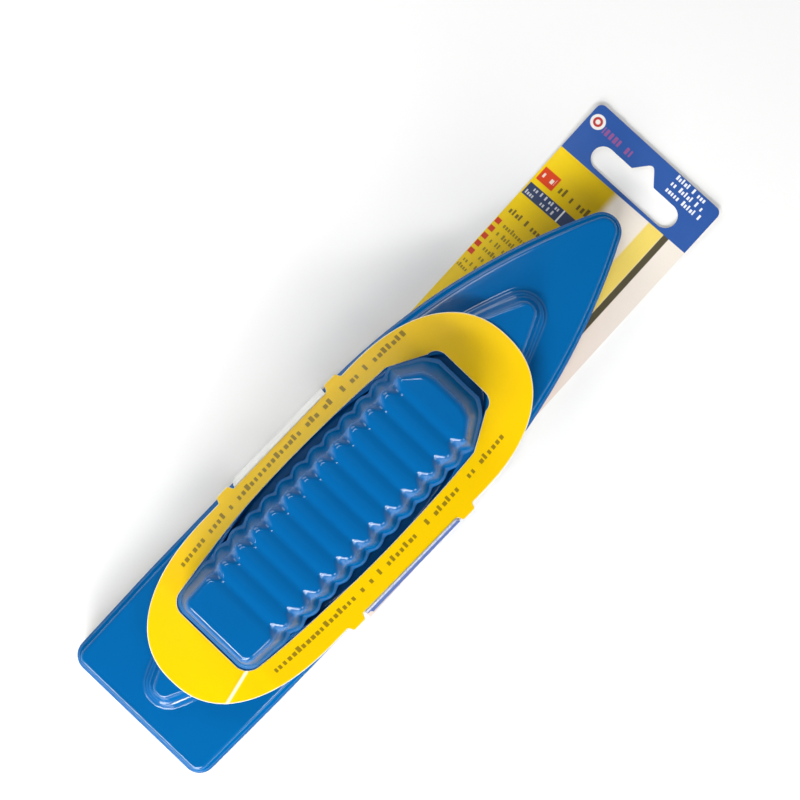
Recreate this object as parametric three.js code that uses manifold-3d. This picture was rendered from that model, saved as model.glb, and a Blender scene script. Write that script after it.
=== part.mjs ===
// Paint pad edger in its creased display card. Millimetres, +Z up, +Y towards the pointed nose.
// It lies on the back card. The origin is the centre of the whole object's footprint.
import * as THREE from 'three';
import { mergeVertices } from 'three/addons/utils/BufferGeometryUtils.js';
import Module from 'manifold-3d';

// Place of the pad's rear edge and of its centre line, seen from the middle of the footprint
const REAR_Y = -136.42;
const AXIS_X = -1.096;

// Plate outline: straight sides, then two flank arcs that meet a small round nose
const PLATE = { length: 244, halfWidth: 32.4, rearHalfWidth: 31.7, taperEnd: 46, flankStart: 125 };
const PLATE_CORNER = 5.5;
const PLATE_NOSE = 7.5;

// Heights of the stack
const CARD = 0.45;
const GAP = 0.3;
const NAP = { bottom: 0.8, top: 3.6 };
const FOAM = { bottom: 3.9, top: 8.7 };
const ADHESIVE = { bottom: 9.0, top: 9.3 };
const BOARD = { bottom: 9.6, top: 11.6 };
const SKIRT_BOTTOM = 9;
const PLATE_TOP = 17;
const PLATFORM_TOP = 23;
const GRIP_BOTTOM = PLATFORM_TOP + GAP;
const GRIP_TOP = 45;
const WALL = 2;
const PAD_INSET = 0.6;

// Skirt section: how far each height stands in from the outline
const SKIRT = [[0, 9], [0, 10.6], [0.7, 13.4], [1.7, 15.7], [2.5, 16.7], [3.4, 17]];

// Leaf-shaped platform: two flank arcs with small round noses, and a wall that leans in
const PLATFORM = { centreY: 107, halfLength: 97.2, halfWidth: 25.9, nose: 8.3 };
const PLATFORM_WALL = [[0, 17], [1.3, 18.6], [3.0, 21.6], [3.9, 22.6], [4.8, 23]];

// Grip: base and top sizes of one drafted block with twelve cross grooves
const GRIP_BASE = { rear: 40.8, front: 164.5, half: 19.9, frontHalf: 13.6, chamferEnd: 161.5 };
const GRIP_CREST = { rear: 46.2, front: 158.9, half: 14.4, frontHalf: 8.4, chamferEnd: 157 };
const GRIP_CORNER = 4.5;
const GRIP_REAR_PINCH = 1.9;
const GROOVE = { count: 12, first: 61, pitch: 7.8, steps: 5, sideDepth: 0.9, topDepth: 2 };
// Grip wall section: share of the way up, and how far it stands in from the straight wall
const GRIP_WALL = [[0, 0], [0.45, -0.15], [0.84, 0], [0.95, 0.55], [1, 1.7]];

// Front ring and its hole
const RING = { rear: 20.7, front: 187.1, half: 31, endLength: 50, blunt: 2.5, bottom: 23.3 };
const TAB = { reach: 1.9, rearStart: 76, length: 7.4, frontEnd: 137 };
const HOLE = { rear: 39.8, sideStart: 44.3, middle: 104, sideEnd: 151, half: 22.8, rearHalf: 18.6, frontHalf: 20.9 };
const HOLE_NOSE = [[14.4, 163.6], [12.2, 166.2], [9.2, 167.2]];

// Side panels: inner face from the top crease to the bottom crease, as distance from the centre line and height
const PANEL_Y = { start: 83.9, end: 129.1 };
const PANEL_RIGHT = [[31.4, 23.2], [32.8, 12], [33.6, 6], [34.6, 0.8]];
const PANEL_LEFT = [[31.4, 23.2], [32.8, 12], [33.3, 6.5], [33.3, 0.8]];
const FLAP = [[32.5, 7], [32.5, 0.8]];
const FLAP_INSET_Y = 3;

// Back card, before it is turned a little in its plane
const BACK = { rear: 60, front: 272.2, half: 29.1, corner: 2.5, wingHalf: 33.8, wingStart: 81, wingEnd: 132 };
const BACK_TURN = THREE.MathUtils.degToRad(1.5);
const BACK_PIVOT = { x: 1.5, y: 106 };
const SLOT = { half: 19.45, bottom: 253.3, top: 262.2, peakHalf: 5.35, peakTip: 267.6, tipHalf: 1.2 };

const BLUE = new THREE.MeshStandardMaterial({ color: 0x0073be, roughness: 0.18, metalness: 0 });
const YELLOW = new THREE.MeshStandardMaterial({ color: 0xffde00, roughness: 0.35, metalness: 0 });
const SLATE = new THREE.MeshStandardMaterial({ color: 0x7389be, roughness: 0.35, metalness: 0 });
const CARD_WHITE = new THREE.MeshStandardMaterial({ color: 0xe9e6dc, roughness: 0.6, metalness: 0 });
const BOARD_BROWN = new THREE.MeshStandardMaterial({ color: 0xb89f7c, roughness: 0.8, metalness: 0 });
const FILM = new THREE.MeshStandardMaterial({ color: 0xf2efe4, roughness: 0.4, metalness: 0 });
const FOAM_WHITE = new THREE.MeshStandardMaterial({ color: 0xefeee8, roughness: 0.95, metalness: 0 });
const NAP_WHITE = new THREE.MeshStandardMaterial({ color: 0xf6f4ea, roughness: 1, metalness: 0 });

const wasm = await Module();
wasm.setup();

function arc(cx, cy, radius, from, to, steps) {
  const points = [];
  for (let i = 0; i <= steps; i += 1) {
    const angle = from + ((to - from) * i) / steps;
    points.push([cx + radius * Math.cos(angle), cy + radius * Math.sin(angle)]);
  }
  return points;
}

// Radius of the flank arc that starts straight at a half width and runs smoothly into a nose arc
function flankRadius(halfWidth, rise, nose) {
  return (halfWidth ** 2 + rise ** 2 - nose ** 2) / (2 * (halfWidth - nose));
}

// Right half of the plate's outline, from the rear to the nose, moved in by an inset
function plateHalf(inset) {
  const noseY = PLATE.length - PLATE_NOSE;
  const rise = noseY - PLATE.flankStart;
  const flank = flankRadius(PLATE.halfWidth, rise, PLATE_NOSE);
  const meet = Math.atan2(rise, flank - PLATE.halfWidth);
  const corner = Math.max(PLATE_CORNER - inset, 1);
  const cornerX = PLATE.rearHalfWidth - inset - corner;
  return [
    ...arc(cornerX, inset + corner, corner, -Math.PI / 2, 0, 5),
    [PLATE.halfWidth - inset, PLATE.taperEnd],
    ...arc(PLATE.halfWidth - flank, PLATE.flankStart, flank - inset, 0, meet, 10),
    ...arc(0, noseY, PLATE_NOSE - inset, meet, Math.PI / 2, 5).slice(1, -1),
  ];
}

function platformHalf(inset) {
  const rise = PLATFORM.halfLength - PLATFORM.nose;
  const flank = flankRadius(PLATFORM.halfWidth, rise, PLATFORM.nose);
  const meet = Math.atan2(rise, flank - PLATFORM.halfWidth);
  const nose = PLATFORM.nose - inset;
  return [
    ...arc(0, PLATFORM.centreY - rise, nose, -Math.PI / 2, -meet, 5).slice(1, -1),
    ...arc(PLATFORM.halfWidth - flank, PLATFORM.centreY, flank - inset, -meet, meet, 22),
    ...arc(0, PLATFORM.centreY + rise, nose, meet, Math.PI / 2, 5).slice(1, -1),
  ];
}

// 1 in the middle of a groove, 0 on the crest between two grooves and outside the grooved length
function grooveShare(y) {
  const along = (y - GROOVE.first) / GROOVE.pitch;
  const inside = along > -0.5 && along < GROOVE.count - 0.5;
  return inside ? 0.5 + 0.5 * Math.cos(2 * Math.PI * along) : 0;
}

// Right half of the grip's outline at a share of its height, moved in by an inset
function gripHalf(share, inset) {
  const mix = (key) => THREE.MathUtils.lerp(GRIP_BASE[key], GRIP_CREST[key], share);
  const half = mix('half') - inset;
  const rearHalf = half - GRIP_REAR_PINCH * (1 - share);
  const rear = mix('rear') + inset;
  const front = mix('front') - inset;
  const corner = Math.max(GRIP_CORNER - inset, 1);
  const grooves = [];
  const count = GROOVE.count * GROOVE.steps;
  for (let i = 0; i <= count; i += 1) {
    const y = GROOVE.first + GROOVE.pitch * (i / GROOVE.steps - 0.5);
    const blend = Math.min(1, (y - rear) / (2.2 * GRIP_REAR_PINCH * GROOVE.pitch));
    const width = THREE.MathUtils.lerp(rearHalf, half, blend);
    grooves.push([width - GROOVE.sideDepth * grooveShare(y), y]);
  }
  return [
    ...arc(rearHalf - corner, rear + corner, corner, -Math.PI / 2, 0, 5),
    ...grooves,
    [mix('frontHalf') - inset * 0.6, mix('chamferEnd') - inset],
    [mix('frontHalf') - inset * 0.6 - 2.4, front],
  ];
}

// A full ring of points from its right half; the height is a number or a function of y
function ring(half, height) {
  const at = (x, y) => new THREE.Vector3(x, y, typeof height === 'function' ? height(y) : height);
  const right = half.map(([x, y]) => at(x, y));
  const left = half.map(([x, y]) => at(-x, y)).reverse();
  return [...right, ...left];
}

// Closed solid through a run of rings, with each end closed by rungs from side to side
function loft(rings) {
  const count = rings[0].length;
  const positions = rings.flat().flatMap((point) => point.toArray());
  const index = [];
  for (let r = 0; r < rings.length - 1; r += 1) {
    for (let i = 0; i < count; i += 1) {
      const next = (i + 1) % count;
      const [a, b] = [r * count + i, r * count + next];
      index.push(a, b, b + count, a, b + count, a + count);
    }
  }
  const last = (rings.length - 1) * count;
  for (let i = 0; i < count / 2 - 1; i += 1) {
    const [right, rightUp, leftUp, left] = [i, i + 1, count - 2 - i, count - 1 - i];
    index.push(right, left, leftUp, right, leftUp, rightUp);
    index.push(last + right, last + rightUp, last + leftUp, last + right, last + leftUp, last + left);
  }
  const geometry = new THREE.BufferGeometry();
  geometry.setAttribute('position', new THREE.Float32BufferAttribute(positions, 3));
  geometry.setIndex(index);
  return geometry;
}

function toSolid(geometry) {
  const clean = geometry.clone();
  clean.deleteAttribute('normal');
  clean.deleteAttribute('uv');
  const merged = mergeVertices(clean);
  return new wasm.Manifold(new wasm.Mesh({
    numProp: 3,
    vertProperties: new Float32Array(merged.attributes.position.array),
    triVerts: new Uint32Array(merged.index.array),
  }));
}

function toGeometry(solid) {
  const mesh = solid.getMesh();
  const geometry = new THREE.BufferGeometry();
  geometry.setAttribute('position', new THREE.Float32BufferAttribute(mesh.vertProperties, 3));
  geometry.setIndex(Array.from(mesh.triVerts));
  return geometry;
}

function named(name, geometry, material) {
  geometry.computeVertexNormals();
  const mesh = new THREE.Mesh(geometry, material);
  mesh.name = name;
  return mesh;
}

// Flat layer that follows the plate's outline
function plateLayer(name, inset, level, material) {
  const half = plateHalf(inset);
  return named(name, loft([ring(half, level.bottom), ring(half, level.top)]), material);
}

function topShell() {
  const plate = toSolid(loft(SKIRT.map(([inset, z]) => ring(plateHalf(inset), z))));
  const below = [0, PLATE_TOP - WALL / 2];
  const platform = toSolid(loft([below, ...PLATFORM_WALL].map(([inset, z]) => ring(platformHalf(inset), z))));
  const plateCavity = toSolid(loft([
    ring(plateHalf(WALL), SKIRT_BOTTOM - 1),
    ring(plateHalf(WALL), BOARD.top + GAP),
    ring(plateHalf(WALL + 2.2), PLATE_TOP - WALL),
  ]));
  const platformCavity = toSolid(loft([
    ring(platformHalf(WALL), BOARD.top),
    ring(platformHalf(WALL), PLATE_TOP - WALL / 2),
    ring(platformHalf(WALL + 3.9), PLATFORM_TOP - WALL),
  ]));
  const shell = plate.add(platform).subtract(plateCavity).subtract(platformCavity);
  return named('top_shell', toGeometry(shell), BLUE);
}

function grip() {
  const height = (share, drop) => (y) => {
    const top = GRIP_TOP - drop - GROOVE.topDepth * grooveShare(y);
    return THREE.MathUtils.lerp(GRIP_BOTTOM, top, share);
  };
  const outer = GRIP_WALL.map(([share, inset]) => ring(gripHalf(share, inset), height(share, 0)));
  const inner = [0.9, 0].map((share) => ring(gripHalf(share, WALL), height(share, 0)));
  return named('grip', loft([...inner, ...outer]), BLUE);
}

// Half-width of the ring's oval: straight in the middle, blunt at both ends
function ringHalfWidth(y) {
  const nearest = Math.min(y - RING.rear, RING.front - y);
  const share = Math.min(1, Math.max(0, nearest / RING.endLength));
  return RING.half * (1 - (1 - share) ** RING.blunt) ** (1 / RING.blunt);
}

function ringEnd(from, to, steps) {
  const points = [];
  for (let i = 0; i <= steps; i += 1) {
    const ease = Math.sin((Math.PI / 2) * (i / steps)) ** 2;
    const y = THREE.MathUtils.lerp(from, to, from < to ? ease ** 1.3 : 1 - (1 - ease) ** 1.3);
    points.push([ringHalfWidth(y), y]);
  }
  return points;
}

// Right half of the ring's outline, with the two tabs that stand past the crease
function ringHalf() {
  const tabOut = RING.half + TAB.reach;
  const rearEnd = ringEnd(RING.rear, RING.rear + RING.endLength, 18);
  const frontEnd = ringEnd(RING.front, RING.front - RING.endLength, 18).reverse();
  const tab = (start) => [
    [RING.half, start],
    [tabOut - 0.6, start],
    [tabOut, start + 0.6],
    [tabOut, start + TAB.length - 0.6],
    [tabOut - 0.6, start + TAB.length],
    [RING.half, start + TAB.length],
  ];
  return [...rearEnd.slice(1), ...tab(TAB.rearStart), ...tab(TAB.frontEnd - TAB.length), ...frontEnd.slice(1, -1)];
}

// Right half of the hole's outline: a bowed side between a rounded rear corner and a chamfered front
function holeHalf() {
  const corner = HOLE.sideStart - HOLE.rear;
  const side = [];
  const steps = 16;
  for (let i = 0; i <= steps; i += 1) {
    const y = THREE.MathUtils.lerp(HOLE.sideStart, HOLE.sideEnd, i / steps);
    const behind = y < HOLE.middle;
    const share = (y - HOLE.middle) / ((behind ? HOLE.sideStart : HOLE.sideEnd) - HOLE.middle);
    const bow = HOLE.half - (behind ? HOLE.rearHalf : HOLE.frontHalf);
    side.push([HOLE.half - bow * share ** 2, y]);
  }
  return [
    ...arc(HOLE.rearHalf - corner, HOLE.sideStart, corner, -Math.PI / 2, 0, 5).slice(0, -1),
    ...side,
    ...HOLE_NOSE,
  ];
}

function closedShape(half) {
  const points = ring(half, 0).map((point) => new THREE.Vector2(point.x, point.y));
  return new THREE.Shape(points);
}

function frontRing() {
  const shape = closedShape(ringHalf());
  shape.holes.push(new THREE.Path(closedShape(holeHalf()).getPoints()));
  const geometry = new THREE.ExtrudeGeometry(shape, { depth: CARD, bevelEnabled: false });
  geometry.translate(0, 0, RING.bottom);
  return named('front_ring', geometry, YELLOW);
}

// Card strip that follows a section and runs along the pad; side is 1 for +X and -1 for -X
function cardStrip(name, section, side, start, end, material) {
  const outer = section.map(([x, z]) => new THREE.Vector2(side * (x + CARD), z));
  const inner = section.map(([x, z]) => new THREE.Vector2(side * x, z)).reverse();
  const shape = new THREE.Shape([...outer, ...inner]);
  const geometry = new THREE.ExtrudeGeometry(shape, { depth: end - start, bevelEnabled: false });
  geometry.rotateX(Math.PI / 2);
  geometry.translate(0, end, 0);
  return named(name, geometry, material);
}

function slotHalf() {
  const radius = (SLOT.top - SLOT.bottom) / 2;
  return [
    ...arc(SLOT.half - radius, SLOT.bottom + radius, radius, -Math.PI / 2, Math.PI / 2, 8),
    [SLOT.peakHalf, SLOT.top],
    [SLOT.tipHalf, SLOT.peakTip],
  ];
}

function backCard() {
  const half = [
    [BACK.half - BACK.corner, BACK.rear],
    [BACK.half, BACK.rear + BACK.corner],
    [BACK.half, BACK.wingStart],
    [BACK.wingHalf, BACK.wingStart],
    [BACK.wingHalf, BACK.wingEnd],
    [BACK.half, BACK.wingEnd],
    ...arc(BACK.half - BACK.corner, BACK.front - BACK.corner, BACK.corner, 0, Math.PI / 2, 5),
  ];
  const shape = closedShape(half);
  shape.holes.push(new THREE.Path(closedShape(slotHalf()).getPoints()));
  const geometry = new THREE.ExtrudeGeometry(shape, { depth: CARD, bevelEnabled: false });
  geometry.translate(0, -BACK_PIVOT.y, 0);
  const mesh = named('back_card', geometry, CARD_WHITE);
  mesh.position.set(BACK_PIVOT.x, BACK_PIVOT.y, 0);
  mesh.rotation.z = BACK_TURN;
  return mesh;
}

const part = new THREE.Group();
part.add(
  topShell(),
  grip(),
  plateLayer('base_board', WALL + GAP, BOARD, BOARD_BROWN),
  plateLayer('adhesive_sheet', WALL + 2 * GAP, ADHESIVE, FILM),
  plateLayer('foam_pad', PAD_INSET, FOAM, FOAM_WHITE),
  plateLayer('nap_face', PAD_INSET, NAP, NAP_WHITE),
  backCard(),
  cardStrip('side_panel_right', PANEL_RIGHT, 1, PANEL_Y.start, PANEL_Y.end, SLATE),
  frontRing(),
  cardStrip('side_panel_left', PANEL_LEFT, -1, PANEL_Y.start, PANEL_Y.end, SLATE),
  cardStrip('glue_flap', FLAP, -1, PANEL_Y.start + FLAP_INSET_Y, PANEL_Y.end - FLAP_INSET_Y, CARD_WHITE),
);
part.position.set(AXIS_X, REAR_Y, 0);

export default part;
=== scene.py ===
import math
import random

import bmesh
import bpy
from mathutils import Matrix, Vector, noise


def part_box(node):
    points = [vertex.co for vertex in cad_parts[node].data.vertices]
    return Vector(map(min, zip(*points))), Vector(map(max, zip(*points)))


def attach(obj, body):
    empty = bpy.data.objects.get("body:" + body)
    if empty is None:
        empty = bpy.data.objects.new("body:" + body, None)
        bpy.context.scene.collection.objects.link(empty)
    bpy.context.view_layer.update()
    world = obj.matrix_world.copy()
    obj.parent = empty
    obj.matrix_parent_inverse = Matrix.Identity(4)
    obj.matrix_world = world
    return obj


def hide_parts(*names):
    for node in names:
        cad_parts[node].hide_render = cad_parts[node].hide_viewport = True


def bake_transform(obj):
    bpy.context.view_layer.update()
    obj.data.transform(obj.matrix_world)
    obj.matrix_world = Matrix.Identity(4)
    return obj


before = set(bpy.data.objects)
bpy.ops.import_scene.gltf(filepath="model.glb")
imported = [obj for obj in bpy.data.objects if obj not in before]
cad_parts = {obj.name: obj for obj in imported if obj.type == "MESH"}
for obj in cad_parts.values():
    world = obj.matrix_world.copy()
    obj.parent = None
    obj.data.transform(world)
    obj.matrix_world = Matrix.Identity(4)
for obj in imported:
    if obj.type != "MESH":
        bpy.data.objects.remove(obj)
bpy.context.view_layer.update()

# Sizes below are millimetres: x from the pad's centre line, y from its rear edge, z from the surface.
# A profile is a list of levels, each (inset from an outline, height).
MM = 0.001
ROOT = "tool_and_card"
shell_low, shell_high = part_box("top_shell")
ring_low, ring_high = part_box("front_ring")
AXIS_X = (shell_low.x + shell_high.x) / 2
REAR_Y = shell_low.y

# the plate's outline: it widens from the rear to full width, then one long flank runs into the nose
PLATE_LENGTH = (shell_high.y - shell_low.y) / MM
PLATE_HALF = (shell_high.x - shell_low.x) / 2 / MM
PLATE_REAR_HALF = PLATE_HALF - 0.7
PLATE_TAPER_END = 46
PLATE_FLANK_START = 128
PLATE_CORNER = 6.3
PLATE_NOSE = 7
PLATE_TOP = 17
SKIRT_BOTTOM = shell_low.z / MM
SHELL_WALL = 1.8
SKIRT_PROFILE = [
    (0.25, 9.0), (0.0, 9.25), (0.0, 10.4), (0.14, 10.68), (0.45, 10.82), (0.72, 11.0), (0.88, 11.35),
    (1.25, 12.6), (1.65, 13.9), (2.0, 15.2), (2.18, 15.9), (2.3, 16.25), (2.5, 16.57), (2.8, 16.8),
    (3.15, 16.93), (3.5, 16.99), (3.9, PLATE_TOP),
]

# the leaf-shaped platform: a hollow foot, a low step, a leaning face and a round brim
PLATFORM_Y = 107
PLATFORM_LENGTH = 97.2
PLATFORM_HALF = 26.4
PLATFORM_NOSE = 9.2
PLATFORM_TOP = 23.0
PLATFORM_PROFILE = [
    (-1.2, PLATE_TOP), (-0.9, PLATE_TOP), (-0.4, 17.05), (0.0, 17.22), (0.4, 17.6), (0.7, 18.15),
    (0.95, 18.7), (1.15, 18.98), (1.45, 19.14), (1.9, 19.27), (2.2, 19.5), (2.45, 19.95), (2.8, 20.7),
    (3.2, 21.5), (3.55, 22.1), (3.9, 22.5), (4.2, 22.8), (4.5, 22.95), (4.8, PLATFORM_TOP),
    (5.0, PLATFORM_TOP),
]

# the sunken channel round the grip's foot, which the ring hides
MOAT = 16
MOAT_HALF = 24.3
MOAT_NOSE = 15
MOAT_MARGIN = 4
MOAT_PROFILE = [
    (-0.2, PLATFORM_TOP), (-0.1, PLATFORM_TOP), (0.0, 22.9), (0.2, 22.6), (0.6, MOAT + 0.4), (1.0, MOAT),
    (1.6, MOAT),
]

# the grip and its cross grooves; its foot stands just clear of the moat's floor
GRIP_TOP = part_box("grip")[1].z / MM
GRIP_HALF = 20.4
GRIP_SHIFT = -0.5
GRIP_REAR = 40.4
GRIP_FRONT = 164.7
GRIP_FOOT = MOAT + 0.3
GROOVES = 12
GROOVE_FIRST = 61
GROOVE_PITCH = 7.8
GROOVE_DEPTH = 0.45
GROOVE_WORN = 0.13
CREST_PROFILE = [
    (1.2, GRIP_FOOT), (0.3, GRIP_FOOT), (0.3, 23.2), (0.05, 23.45), (0.0, 23.75), (0.2, 24.05),
    (0.55, 24.35), (0.95, 24.75), (1.25, 25.4), (1.5, 26.4), (1.95, 28.6), (2.5, 31.6), (3.1, 34.6),
    (3.75, 37.6), (4.3, 40.1),
]
VALE_PROFILE = [
    (2.0, GRIP_FOOT), (1.4, GRIP_FOOT), (1.4, 23.2), (1.15, 23.45), (1.1, 23.75), (1.35, 24.05),
    (1.8, 24.4), (2.4, 24.9), (2.95, 25.7), (3.3, 26.8), (3.6, 28.8), (3.9, 31.4), (4.2, 34.0),
    (4.55, 36.5), (4.9, 38.6),
]

# the card: its thickness, the ring with its hole and four tabs, the side panels and the flat back
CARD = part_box("back_card")[1].z / MM
RING_BOTTOM = ring_low.z / MM
RING_REAR = (ring_low.y - REAR_Y) / MM
RING_FRONT = (ring_high.y - REAR_Y) / MM
RING_MIDDLE = 104
RAY_REAR = 62
RAY_FRONT = 146
HOLE = (39.9, 167.2)
HOLE_MIDDLE = (HOLE[0] + HOLE[1]) / 2
HOLE_HALF = 22.8
HOLE_REAR_CORNER = 5
HOLE_CHAMFER_START = 149.8
HOLE_FRONT_CORNER = 4.2
STRAP = (76, 137)
TAB_LENGTH = 7.4
TAB_REACH = 2.1
PANEL = (83.9, 129.1)
BEND = [(31.0, 23.3), (31.35, 23.0), (31.6, 22.0), (32.7, 13.5)]
RIGHT_KNOTS = BEND + [(33.1, 9.5), (34.1, 4), (34.7, 1.2), (34.75, 0.75)]
LEFT_KNOTS = BEND + [(32.95, 9.5), (33.15, 5), (33.2, 1.2), (33.2, 0.75)]
CARD_HALF = 29.1
CARD_END = 272.2
CARD_TURN = math.radians(1.5)
CARD_PIVOT = (1.5, 106)

# the pad
NAP_INSET = 0.8
PILE_ROWS = 9
PILE_SEED = 7
ROUGH_SEED = 7


# ---------------------------------------------------------------- shapes


def arc(cx, cy, radius, start, end, steps):
    """Points on a circle from one angle to another, both ends included."""
    angles = [start + (end - start) * i / steps for i in range(steps + 1)]
    return [(cx + radius * math.cos(a), cy + radius * math.sin(a)) for a in angles]


def mix(a, b, t):
    return a + (b - a) * t


def smooth(low, high, value):
    """0 below low, 1 above high, and an even S between them."""
    t = min(1, max(0, (value - low) / (high - low)))
    return t * t * (3 - 2 * t)


def flank_radius(half, rise, nose):
    """Radius of the arc that starts straight at a half width and runs smoothly into a nose arc."""
    return (half**2 + rise**2 - nose**2) / (2 * (half - nose))


def plate_half(inset):
    """Right half of the plate's outline, from the rear to the nose, moved in by an inset."""
    nose_y = PLATE_LENGTH - PLATE_NOSE
    rise = nose_y - PLATE_FLANK_START
    flank = flank_radius(PLATE_HALF, rise, PLATE_NOSE)
    meet = math.atan2(rise, flank - PLATE_HALF)
    corner = max(PLATE_CORNER - inset, 0.6)
    corner_x = PLATE_REAR_HALF - inset - corner
    side_start = PLATE_REAR_HALF - inset, inset + corner
    side = []
    for i in range(1, 24):
        y = mix(side_start[1], PLATE_FLANK_START, i / 24)
        side.append((mix(side_start[0], PLATE_HALF - inset, smooth(0, PLATE_TAPER_END, y)), y))
    return (
        arc(corner_x, inset + corner, corner, -math.pi / 2, 0, 16)
        + side
        + arc(PLATE_HALF - flank, PLATE_FLANK_START, flank - inset, 0, meet, 70)
        + arc(0, nose_y, PLATE_NOSE - inset, meet, math.pi / 2, 18)[1:-1]
    )


def platform_half(half, length, nose):
    """Right half of a leaf-shaped outline, each point beside the plate's point of the same number."""
    rise = length - nose
    flank = flank_radius(half, rise, nose)
    meet = math.atan2(rise, flank - half)
    path = arc(0, PLATFORM_Y - rise, nose, -math.pi / 2, -meet, 40)
    path += arc(half - flank, PLATFORM_Y, flank, -meet, meet, 400)[1:-1]
    path += arc(0, PLATFORM_Y + rise, nose, meet, math.pi / 2, 40)
    beside = lengths(plate_half(0))
    own = lengths(path)
    points = []
    k = 0
    for share in beside:
        share = mix(0.002, 0.998, share)
        while own[k + 1] < share:
            k += 1
        t = (share - own[k]) / (own[k + 1] - own[k])
        points.append((mix(path[k][0], path[k + 1][0], t), mix(path[k][1], path[k + 1][1], t)))
    return points


def lengths(path):
    """How far along a path each of its points lies, from 0 to 1."""
    sums = [0]
    for a, b in zip(path, path[1:]):
        sums.append(sums[-1] + math.dist(a, b))
    return [value / sums[-1] for value in sums]


def leaf(inset):
    """The platform's outline at a level: its noses sharpen as it narrows."""
    nose = max(PLATFORM_NOSE - 1.45 * inset, 0.5)
    return platform_half(PLATFORM_HALF - 0.3 * inset, PLATFORM_LENGTH - inset, nose)


def moat(inset):
    """The channel's outline, matched to the plate's points."""
    length = (HOLE[1] - HOLE[0]) / 2 + MOAT_MARGIN - inset
    half = platform_half(MOAT_HALF - inset, length, MOAT_NOSE)
    return [(x, y + HOLE_MIDDLE - PLATFORM_Y) for x, y in half]


def groove_share(y):
    """1 along the bottom of a cross groove and 0 on the round crests and past the last groove."""
    along = (y - GROOVE_FIRST) / GROOVE_PITCH
    if not -0.5 < along < GROOVES - 0.5:
        return 0
    off = math.sqrt((along - round(along)) ** 2 + GROOVE_WORN**2)
    return max(0, 1 - 2 * off) ** 2 / (1 - 2 * GROOVE_WORN) ** 2


def grip_half(inset):
    """Right half of the grip's outline without grooves; each wall leans by its own share of an inset."""
    half = GRIP_HALF - inset
    rear_half = GRIP_HALF - 1.7 - 0.82 * inset
    rear = GRIP_REAR + 1.12 * inset
    front = GRIP_FRONT - 1.35 * inset
    corner = max(6.2 - 0.55 * inset, 1.2)
    start = GROOVE_FIRST - GROOVE_PITCH / 2
    end = start + GROOVES * GROOVE_PITCH
    fine = GROOVES * 18
    points = arc(rear_half - corner, rear + corner, corner, -math.pi / 2, 0, 14)

    def side(y):
        return mix(rear_half, half, smooth(rear + corner - 8, rear + corner + 24, y))

    first = side(rear + corner) - rear_half
    for i in range(1, 7):
        y = mix(rear + corner, start, i / 7)
        points.append((side(y) - first * (1 - i / 7), y))
    for i in range(fine + 1):
        y = mix(start, end, i / fine)
        points.append((side(y), y))
    shoulder = (half, end - 0.3)
    elbow = (13.9 - 0.78 * inset, GRIP_FRONT - 2.6 - 0.97 * inset)
    tip = (elbow[0] - 4.4, front)
    for i in range(1, 25):
        points.append(rounded(shoulder, elbow, tip, i / 24))
    return points


def rounded(a, b, c, t):
    """A point on the path a, b, c with the corner at b worn round: straight to a knee, then curved."""
    straight = 0.35
    knee = (mix(a[0], b[0], 0.8), mix(a[1], b[1], 0.8))
    if t < straight:
        return mix(a[0], knee[0], t / straight), mix(a[1], knee[1], t / straight)
    s = (t - straight) / (1 - straight)
    x = (1 - s) ** 2 * knee[0] + 2 * s * (1 - s) * b[0] + s**2 * c[0]
    y = (1 - s) ** 2 * knee[1] + 2 * s * (1 - s) * b[1] + s**2 * c[1]
    return x, y


def ring_half_width(y):
    """Half width of the ring's oval: straight in the middle and blunt at both ends."""
    rear_half, front_half = 31.0, 31.5
    half = mix(rear_half, front_half, smooth(70, 142, y))
    if y < RING_MIDDLE:
        share, blunt = (y - RING_REAR) / 50, 2.34
    else:
        share, blunt = (RING_FRONT - y) / 45, 2.28
    share = min(1, max(0, share))
    return half * (1 - (1 - share) ** blunt) ** (1 / blunt)


def tab_reach(y):
    """How far a tab stands past the crease at a station along the pad."""
    reach = 0
    for start in (STRAP[0], STRAP[1] - TAB_LENGTH):
        rise = smooth(start, start + 1.2, y)
        fall = 1 - smooth(start + TAB_LENGTH - 1.2, start + TAB_LENGTH, y)
        reach = max(reach, TAB_REACH * min(rise, fall))
    return reach


def hole_half_width(y):
    """Half width of the ring's hole: bowed sides, round rear corners, and a chamfer to a round front."""
    if not HOLE[0] <= y <= HOLE[1]:
        return 0
    bow, reach = (4.2, 59.7) if y < RING_MIDDLE else (1.9, 47)
    wide = HOLE_HALF - bow * ((y - RING_MIDDLE) / reach) ** 2
    back = HOLE[0] + HOLE_REAR_CORNER - y
    if back > 0:
        wide -= HOLE_REAR_CORNER - math.sqrt(HOLE_REAR_CORNER**2 - back**2)
    if y > HOLE_CHAMFER_START:
        wide = min(wide, mix(21.0, 13.9, (y - HOLE_CHAMFER_START) / 13.2))
    into = (y - HOLE[1] + HOLE_FRONT_CORNER) / HOLE_FRONT_CORNER
    if into > 0:
        wide = 9.3 + 4.6 * math.sqrt(max(0, 1 - into**2))
    return wide


def ring_rays():
    """Pairs of points across the ring's right half, from its hole to its outer edge."""
    fan, side = 110, 180
    rays = [((0, RAY_REAR), -math.pi / 2 * (1 - i / fan)) for i in range(1, fan)]
    rays += [((0, mix(RAY_REAR, RAY_FRONT, i / side)), 0) for i in range(side + 1)]
    rays += [((0, RAY_FRONT), math.pi / 2 * i / fan) for i in range(1, fan)]
    pairs = []
    for start, angle in rays:
        inner = leave(start, angle, lambda x, y: x < hole_half_width(y))
        outer = leave(start, angle, lambda x, y: x < ring_half_width(y) + tab_reach(y))
        pairs.append((inner, outer))
    return pairs


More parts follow.
